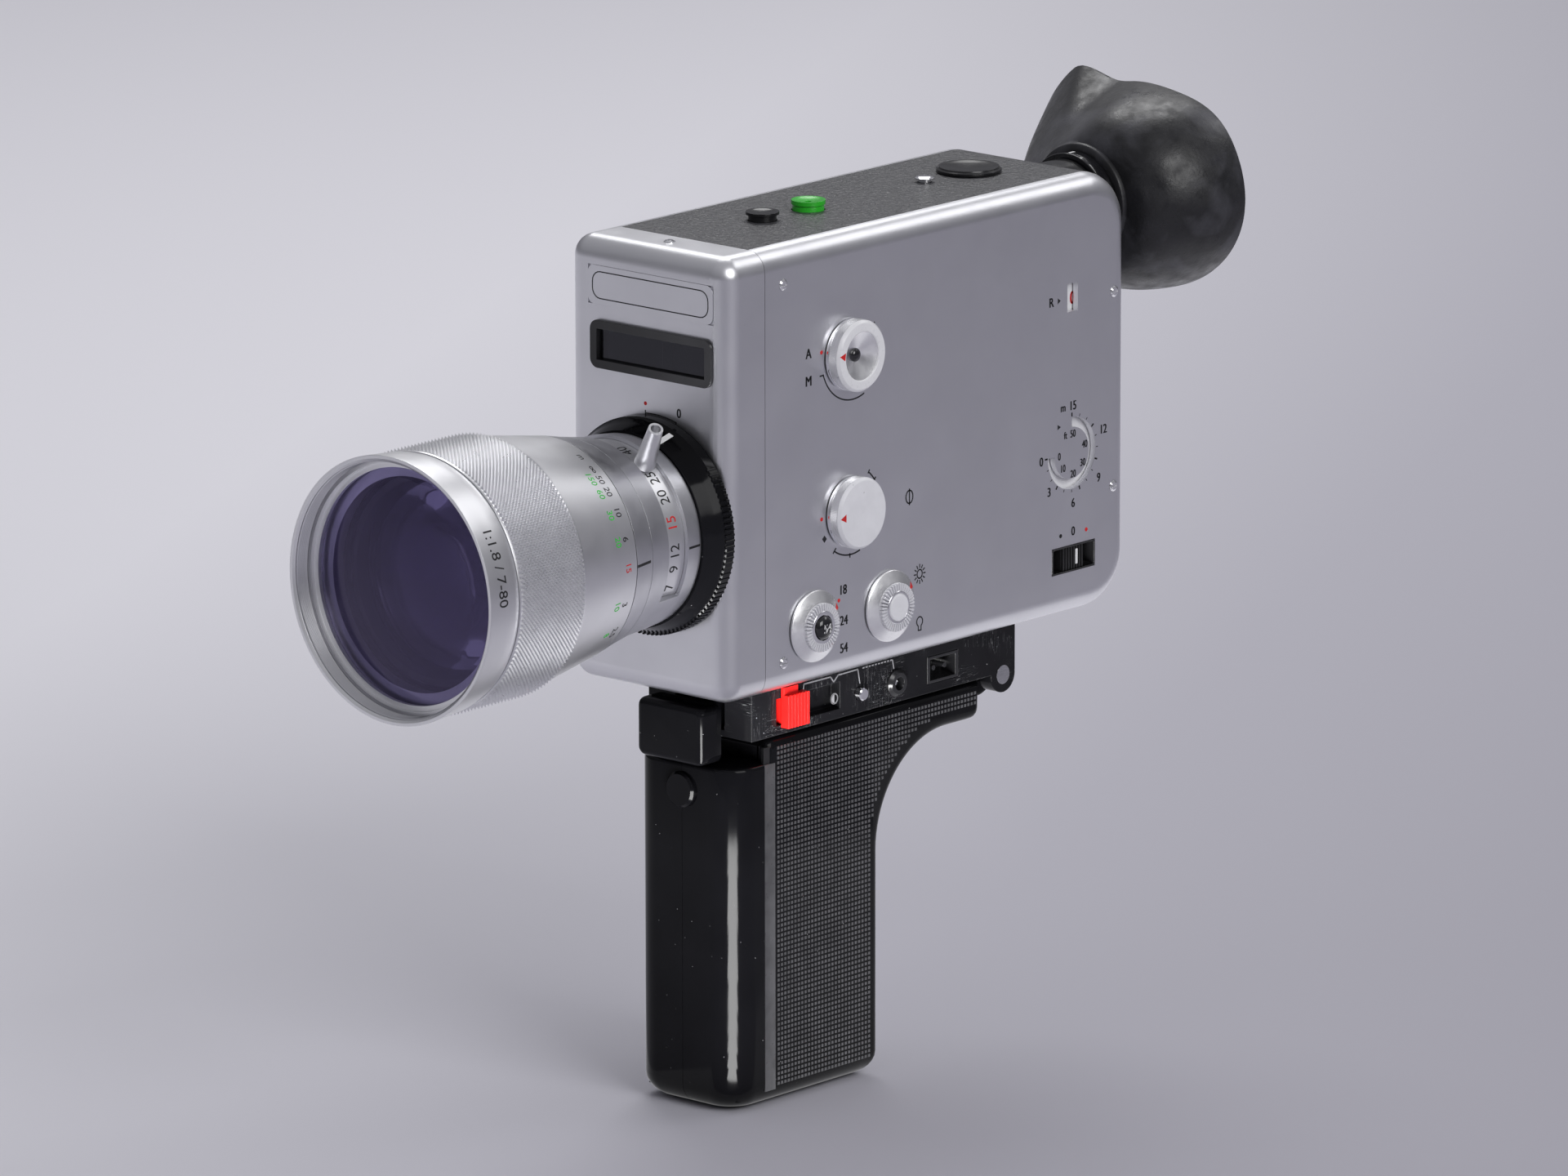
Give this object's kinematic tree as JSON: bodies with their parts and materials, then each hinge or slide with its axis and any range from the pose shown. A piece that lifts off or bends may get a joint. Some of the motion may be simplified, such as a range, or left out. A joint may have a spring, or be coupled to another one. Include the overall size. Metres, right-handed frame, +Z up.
{
  "type": "cine camera",
  "caption": "Hand-held cine camera with zoom lens, reflex finder, side dials, top buttons, film door and a folding battery grip.",
  "frame": {"origin": "mouth of the tripod bush in the underside of the base block, on its axis", "axes": "+X to the side with the controls, +Y from the lens to the finder, +Z up"},
  "size_m": [0.0759, 0.2982, 0.2388],
  "materials": {
    "satin_aluminium": "satin anodised",
    "name_plate": "brushed",
    "leatherette": "grained",
    "bright_metal": "polished",
    "white_enamel": "gloss",
    "inner_metal": "matt",
    "steel": "satin",
    "glass": "coated",
    "gloss_black": "gloss",
    "black_metal": "semi-gloss",
    "matt_black": "matt",
    "grip_rubber": "checkered",
    "rubber": "worn",
    "green": "gloss",
    "red": "satin",
    "circuit": "satin",
    "cells": "gloss"
  },
  "bodies": {
    "camera": {"front_housing": "satin_aluminium", "right_cover": "satin_aluminium", "left_cover": "satin_aluminium", "body_frame": "inner_metal", "leather_strip": "leatherette", "cover_screws": "bright_metal", "name_plate": "name_plate", "window_frame": "gloss_black", "window_glass": "glass", "film_chamber": "inner_metal", "film_gate": "steel", "drive_motor": "inner_metal", "circuit_board": "circuit", "finder_optics": "glass", "lens_sleeve": "satin_aluminium", "index_ring": "satin_aluminium", "lens_tube": "black_metal", "inner_lenses": "glass", "switch_frame": "black_metal", "eyepiece_tube": "black_metal", "base_block": "gloss_black", "tripod_bush": "steel", "remote_jack": "black_metal", "remote_socket": "matt_black", "grip_pin": "steel"},
    "shutter": {"shutter_disc": "steel"},
    "takeup": {"takeup_spindle": "matt_black"},
    "lock_ring": {"lock_ring": "gloss_black"},
    "zoom": {"zoom_ring": "satin_aluminium", "zoom_lever": "satin_aluminium"},
    "focus": {"focus_barrel": "satin_aluminium", "focus_grip": "bright_metal", "front_ring": "satin_aluminium", "front_lens": "glass"},
    "exposure_knob": {"exposure_knob": "bright_metal"},
    "aperture_knob": {"aperture_knob": "white_enamel"},
    "speed_dial": {"speed_dial": "bright_metal"},
    "frame_button": {"frame_button": "gloss_black"},
    "filter_dial": {"filter_dial": "bright_metal"},
    "counter_disc": {"counter_disc": "white_enamel"},
    "indicator_wheel": {"indicator_wheel": "white_enamel"},
    "switch_slider": {"switch_slider": "matt_black"},
    "release_button": {"release_button": "gloss_black"},
    "fade_button": {"fade_button": "green"},
    "test_button": {"test_button": "bright_metal"},
    "timer_dial": {"timer_dial": "gloss_black"},
    "diopter_ring": {"diopter_ring": "black_metal"},
    "eyecup": {"eyecup": "rubber"},
    "film_door": {"film_door": "satin_aluminium"},
    "door_latch": {"door_latch": "matt_black"},
    "trigger": {"trigger": "gloss_black"},
    "lock_slider": {"lock_slider": "red"},
    "release_pin": {"release_pin": "bright_metal"},
    "grip": {"grip_shell": "gloss_black", "grip_panel": "grip_rubber", "battery_holder": "matt_black", "battery_cells": "cells"},
    "battery_cover": {"battery_cover": "gloss_black", "cover_panel": "grip_rubber"},
    "grip_button": {"grip_button": "gloss_black"}
  },
  "joints": [
    {"name": "shutter_spin", "type": "hinge", "parent": "camera", "child": "shutter", "pos_m": [0, -0.04, 0.0774], "axis": [0, 1, 0], "continuous": true},
    {"name": "takeup_spin", "type": "hinge", "parent": "camera", "child": "takeup", "pos_m": [0.005, 0.011, 0.0584], "axis": [1, 0, 0], "continuous": true},
    {"name": "lock_ring_turn", "type": "hinge", "parent": "camera", "child": "lock_ring", "pos_m": [0.0025, -0.08, 0.0584], "axis": [0, -1, 0], "range_deg": [0, 24]},
    {"name": "zoom_turn", "type": "hinge", "parent": "camera", "child": "zoom", "pos_m": [0.0025, -0.08, 0.0584], "axis": [0, -1, 0], "range_deg": [-78, 24]},
    {"name": "focus_turn", "type": "hinge", "parent": "camera", "child": "focus", "pos_m": [0.0025, -0.08, 0.0584], "axis": [0, -1, 0], "range_deg": [-54, 35]},
    {"name": "exposure_turn", "type": "hinge", "parent": "camera", "child": "exposure_knob", "pos_m": [0.027, -0.0196, 0.0979], "axis": [1, 0, 0], "range_deg": [-60, 60]},
    {"name": "aperture_turn", "type": "hinge", "parent": "camera", "child": "aperture_knob", "pos_m": [0.027, -0.0191, 0.057], "axis": [1, 0, 0], "range_deg": [-90, 90]},
    {"name": "speed_turn", "type": "hinge", "parent": "camera", "child": "speed_dial", "pos_m": [0.027, -0.0329, 0.0296], "axis": [1, 0, 0], "range_deg": [-55, 12]},
    {"name": "frame_press", "type": "slide", "parent": "speed_dial", "child": "frame_button", "axis": [-1, 0, 0], "range_m": [0, 0.001], "stiffness_N_per_m": 150, "springref_m": -0.001},
    {"name": "filter_turn", "type": "hinge", "parent": "camera", "child": "filter_dial", "pos_m": [0.027, -0.004, 0.0296], "axis": [1, 0, 0], "range_deg": [-57, 0]},
    {"name": "counter_turn", "type": "hinge", "parent": "camera", "child": "counter_disc", "pos_m": [0.027, 0.068, 0.057], "axis": [1, 0, 0], "range_deg": [0, 270]},
    {"name": "indicator_turn", "type": "hinge", "parent": "camera", "child": "indicator_wheel", "pos_m": [0.027, 0.0681, 0.0895], "axis": [1, 0, 0], "continuous": true},
    {"name": "switch_slide", "type": "slide", "parent": "camera", "child": "switch_slider", "axis": [0, 1, 0], "range_m": [-0.0038, 0.0038]},
    {"name": "release_press", "type": "slide", "parent": "camera", "child": "release_button", "axis": [0, 0, -1], "range_m": [0, 0.0012], "stiffness_N_per_m": 250, "springref_m": -0.001},
    {"name": "fade_press", "type": "slide", "parent": "camera", "child": "fade_button", "axis": [0, 0, -1], "range_m": [0, 0.001], "stiffness_N_per_m": 250, "springref_m": -0.001},
    {"name": "test_press", "type": "slide", "parent": "camera", "child": "test_button", "axis": [0, 0, -1], "range_m": [0, 0.0006], "stiffness_N_per_m": 150, "springref_m": -0.001},
    {"name": "timer_turn", "type": "hinge", "parent": "camera", "child": "timer_dial", "pos_m": [0, 0.0584, 0.129], "axis": [0, 0, 1], "range_deg": [0, 300]},
    {"name": "diopter_turn", "type": "hinge", "parent": "camera", "child": "diopter_ring", "pos_m": [0, 0.099, 0.1143], "axis": [0, 1, 0], "range_deg": [-60, 60]},
    {"name": "eyecup_turn", "type": "hinge", "parent": "camera", "child": "eyecup", "pos_m": [0, 0.114, 0.1143], "axis": [0, 1, 0], "range_deg": [0, 90]},
    {"name": "door_swing", "type": "hinge", "parent": "camera", "child": "film_door", "pos_m": [-0.0286, 0.0536, 0.059], "axis": [0, 0, -1], "range_deg": [0, 110]},
    {"name": "latch_slide", "type": "slide", "parent": "film_door", "child": "door_latch", "axis": [0, -1, 0], "range_m": [0, 0.004]},
    {"name": "trigger_pull", "type": "slide", "parent": "camera", "child": "trigger", "axis": [0, 1, 0], "range_m": [0, 0.003], "stiffness_N_per_m": 400, "springref_m": -0.001},
    {"name": "lock_slide", "type": "slide", "parent": "camera", "child": "lock_slider", "axis": [0, 1, 0], "range_m": [0, 0.009]},
    {"name": "pin_press", "type": "slide", "parent": "camera", "child": "release_pin", "axis": [-1, 0, 0], "range_m": [0, 0.001], "stiffness_N_per_m": 150, "springref_m": -0.001},
    {"name": "grip_fold", "type": "hinge", "parent": "camera", "child": "grip", "pos_m": [0, 0.052, -0.0005], "axis": [1, 0, 0], "range_deg": [0, 165]},
    {"name": "cover_lift", "type": "slide", "parent": "grip", "child": "battery_cover", "axis": [-1, 0, 0], "range_m": [0, 0.045]},
    {"name": "grip_button_press", "type": "slide", "parent": "grip", "child": "grip_button", "axis": [0, 1, 0], "range_m": [0, 0.0015], "stiffness_N_per_m": 150, "springref_m": -0.001}
  ]
}
